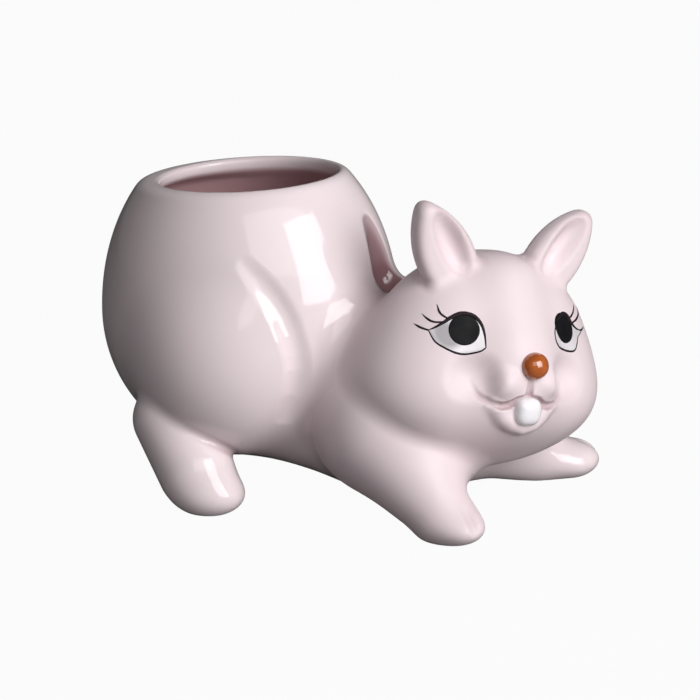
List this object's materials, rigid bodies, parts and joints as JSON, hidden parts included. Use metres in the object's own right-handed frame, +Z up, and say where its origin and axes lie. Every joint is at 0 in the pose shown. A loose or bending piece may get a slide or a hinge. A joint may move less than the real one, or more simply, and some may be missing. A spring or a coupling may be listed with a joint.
{
  "type": "animal shaped planter",
  "caption": "Small glazed ceramic planter in the shape of a crouching animal: a rounded pot with an oval mouth for its rump, a turned head with ears, and short legs that it stands on.",
  "frame": {"origin": "on the ground, at the middle of the outer box", "axes": "+X from the pot towards the chest, +Y the animal's left, +Z up"},
  "size_m": [0.1644, 0.1034, 0.1056],
  "materials": {
    "glaze": "glossy off-white glaze with a faint pink warmth",
    "white_enamel": "glossy white enamel",
    "black_enamel": "glossy black enamel",
    "brown_enamel": "glossy brown-orange enamel"
  },
  "bodies": {
    "root": {"pot_body": "glaze", "chest": "glaze", "head": "glaze", "nose": "brown_enamel", "tooth": "white_enamel", "right_ear": "glaze", "right_eye_white": "white_enamel", "right_pupil": "black_enamel", "right_hind_leg": "glaze", "right_foreleg": "glaze", "left_ear": "glaze", "left_eye_white": "white_enamel", "left_pupil": "black_enamel", "left_hind_leg": "glaze", "left_foreleg": "glaze"}
  },
  "joints": []
}
